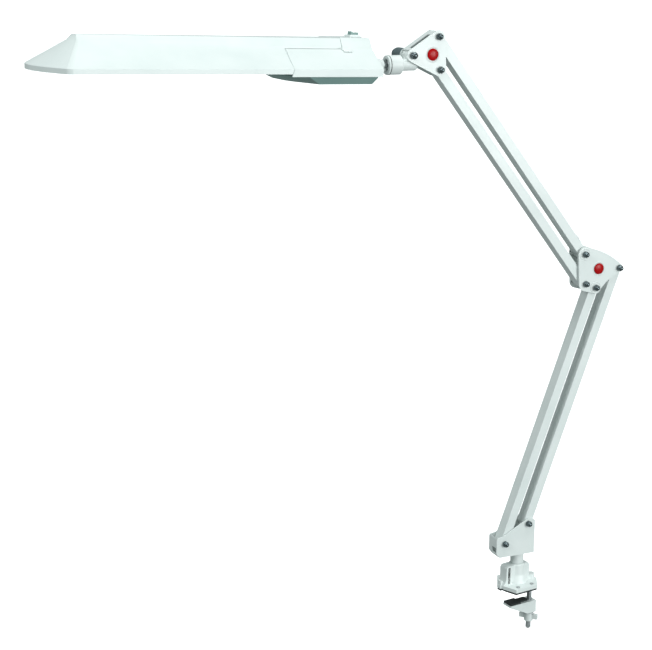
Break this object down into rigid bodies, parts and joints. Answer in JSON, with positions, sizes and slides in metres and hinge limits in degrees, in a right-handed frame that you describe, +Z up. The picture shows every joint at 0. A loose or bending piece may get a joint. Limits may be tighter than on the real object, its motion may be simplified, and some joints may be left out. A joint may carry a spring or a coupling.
{
  "type": "swing arm desk lamp",
  "caption": "Clamp-on desk lamp with two parallel-bar spring arms, plated elbow and head joints, and a long flat twin-tube shade on a ball joint.",
  "frame": {"origin": "middle of the rubber pad's underside, on the swivel post's axis, where the clamp rests on the table top", "axes": "+Z up along the swivel post; the arms lie in the XZ plane and the shade reaches towards -X; +Y away from the viewer's side of the domed pivot nuts"},
  "size_m": [0.6439, 0.1512, 0.6772],
  "materials": {
    "white_paint": "smooth powder coat with a light sheen",
    "white_plastic": "moulded, satin",
    "shade_plastic": "moulded, satin, cool white",
    "grey_plastic": "moulded, matt grey-green",
    "dark_plastic": "moulded, dark blue-grey",
    "black_rubber": "matt black",
    "red_cap": "glossy red",
    "chrome": "polished",
    "zinc_steel": "zinc plated",
    "spring_steel": "drawn wire",
    "reflector_white": "gloss white inside",
    "tube_glass": "phosphor-coated, opaque white",
    "lamp_ceramic": "moulded, off-white"
  },
  "bodies": {
    "clamp": {"Clamp_Base": "white_plastic", "Clamp_Pad": "black_rubber", "Clamp_Foot": "black_rubber", "Plate_Screw_1": "zinc_steel", "Plate_Screw_2": "zinc_steel", "Clamp_Rod": "zinc_steel"},
    "jaw": {"Clamp_Jaw": "white_plastic", "Jaw_Pad": "black_rubber", "Jaw_Washer": "zinc_steel"},
    "wing_nut": {"Wing_Nut": "white_plastic"},
    "base_swivel_post": {"Post": "white_paint", "Post_Nut": "zinc_steel", "Base_Bracket": "white_paint", "Pivot_Base_Left": "chrome", "Pivot_Base_Right": "chrome"},
    "lower_bar_left": {"Lower_Bar_Left": "white_paint"},
    "lower_bar_right": {"Lower_Bar_Right": "white_paint", "Lower_Spring": "spring_steel", "Lower_Anchor": "zinc_steel"},
    "elbow": {"Elbow_Plate_Near": "white_paint", "Elbow_Plate_Far": "white_paint", "Elbow_Cap_Near": "red_cap", "Elbow_Cap_Far": "red_cap", "Elbow_Spacer": "zinc_steel", "Pivot_Elbow_Left": "chrome", "Pivot_Elbow_Low": "chrome", "Pivot_Elbow_Right": "chrome", "Pivot_Elbow_Top": "chrome"},
    "upper_bar_top": {"Upper_Bar_Top": "white_paint", "Upper_Spring": "spring_steel", "Upper_Anchor": "zinc_steel"},
    "upper_bar_low": {"Upper_Bar_Low": "white_paint"},
    "head_bracket": {"Head_Bracket": "white_paint", "Head_Cap_Near": "red_cap", "Head_Cap_Far": "red_cap", "Head_Spacer": "zinc_steel", "Pivot_Head_Top": "chrome", "Pivot_Head_Low": "chrome", "Pivot_Head_Tilt": "chrome"},
    "head_socket": {"Swivel_Body": "white_plastic", "Swivel_Ring": "white_plastic"},
    "tilt_knob": {"Tilt_Knob": "dark_plastic"},
    "ball": {"Ball_Stem": "zinc_steel"},
    "head": {"Neck": "white_plastic", "Shade": "shade_plastic", "Housing": "shade_plastic", "Bottom_Cover": "grey_plastic", "Reflector": "reflector_white", "Lamp_Holder": "lamp_ceramic", "Driver": "grey_plastic", "Switch_Bezel": "white_plastic", "Cable_Gland": "grey_plastic", "Cover_Clip_Near": "white_plastic", "Cover_Clip_Far": "white_plastic", "Cover_Screw_1": "zinc_steel", "Cover_Screw_2": "zinc_steel"},
    "rocker": {"Switch_Rocker": "grey_plastic"},
    "lamp": {"Lamp_Tube": "tube_glass", "Lamp_Base": "lamp_ceramic"}
  },
  "joints": [
    {"name": "base_turn", "type": "hinge", "parent": "clamp", "child": "base_swivel_post", "pos_m": [0, 0, 0.02], "axis": [0, 0, 1], "range_deg": [-170, 170]},
    {"name": "lower_lean", "type": "hinge", "parent": "base_swivel_post", "child": "lower_bar_left", "pos_m": [-0.021, 0, 0.057], "axis": [0, 1, 0], "range_deg": [-36, 15]},
    {"name": "lower_follow", "type": "hinge", "parent": "base_swivel_post", "child": "lower_bar_right", "pos_m": [0.0078, 0, 0.0767], "axis": [0, 1, 0], "range_deg": [-37, 16]},
    {"name": "elbow_level", "type": "hinge", "parent": "lower_bar_left", "child": "elbow", "pos_m": [0.08136, 0, 0.339], "axis": [0, 1, 0], "range_deg": [-16, 37]},
    {"name": "upper_lean", "type": "hinge", "parent": "elbow", "child": "upper_bar_top", "pos_m": [0.06606, 0, 0.3769], "axis": [0, 1, 0], "range_deg": [-70, 9]},
    {"name": "upper_follow", "type": "hinge", "parent": "elbow", "child": "upper_bar_low", "pos_m": [0.06816, 0, 0.3442], "axis": [0, 1, 0], "range_deg": [-71, 10]},
    {"name": "head_level", "type": "hinge", "parent": "upper_bar_top", "child": "head_bracket", "pos_m": [-0.11434, 0, 0.61031], "axis": [0, 1, 0], "range_deg": [-10, 71]},
    {"name": "head_tilt", "type": "hinge", "parent": "head_bracket", "child": "head_socket", "pos_m": [-0.14244, 0, 0.59251], "axis": [0, 1, 0], "range_deg": [-40, 40]},
    {"name": "tilt_knob_turn", "type": "hinge", "parent": "head_bracket", "child": "tilt_knob", "pos_m": [-0.14244, 0.02, 0.59251], "axis": [0, 1, 0], "range_deg": [-90, 90]},
    {"name": "head_yaw", "type": "hinge", "parent": "head_socket", "child": "ball", "pos_m": [-0.16274, 0, 0.58331], "axis": [0, 0, 1], "range_deg": [-22.4, 7.6]},
    {"name": "head_roll", "type": "hinge", "parent": "ball", "child": "head", "pos_m": [-0.16274, 0, 0.58331], "axis": [0.9911, 0.1284, -0.0359], "range_deg": [-90, 90]},
    {"name": "switch_rock", "type": "hinge", "parent": "head", "child": "rocker", "pos_m": [-0.21079, -0.01429, 0.61251], "axis": [-0.1284, 0.9917, 0], "range_deg": [-16, 0]},
    {"name": "lamp_slide", "type": "slide", "parent": "head", "child": "lamp", "axis": [-0.9911, -0.1284, 0.0359], "range_m": [0, 0.016]},
    {"name": "jaw_slide", "type": "slide", "parent": "clamp", "child": "jaw", "axis": [0, 0, 1], "range_m": [0, 0.016]},
    {"name": "wing_turn", "type": "hinge", "parent": "jaw", "child": "wing_nut", "pos_m": [0.01931, 0.00271, -0.04], "axis": [0, 0, 1], "continuous": true}
  ],
  "couplings": [
    {"joint": "lower_follow", "follows": "lower_lean", "ratio": 1},
    {"joint": "elbow_level", "follows": "lower_lean", "ratio": -1},
    {"joint": "upper_follow", "follows": "upper_lean", "ratio": 1},
    {"joint": "head_level", "follows": "upper_lean", "ratio": -1}
  ]
}
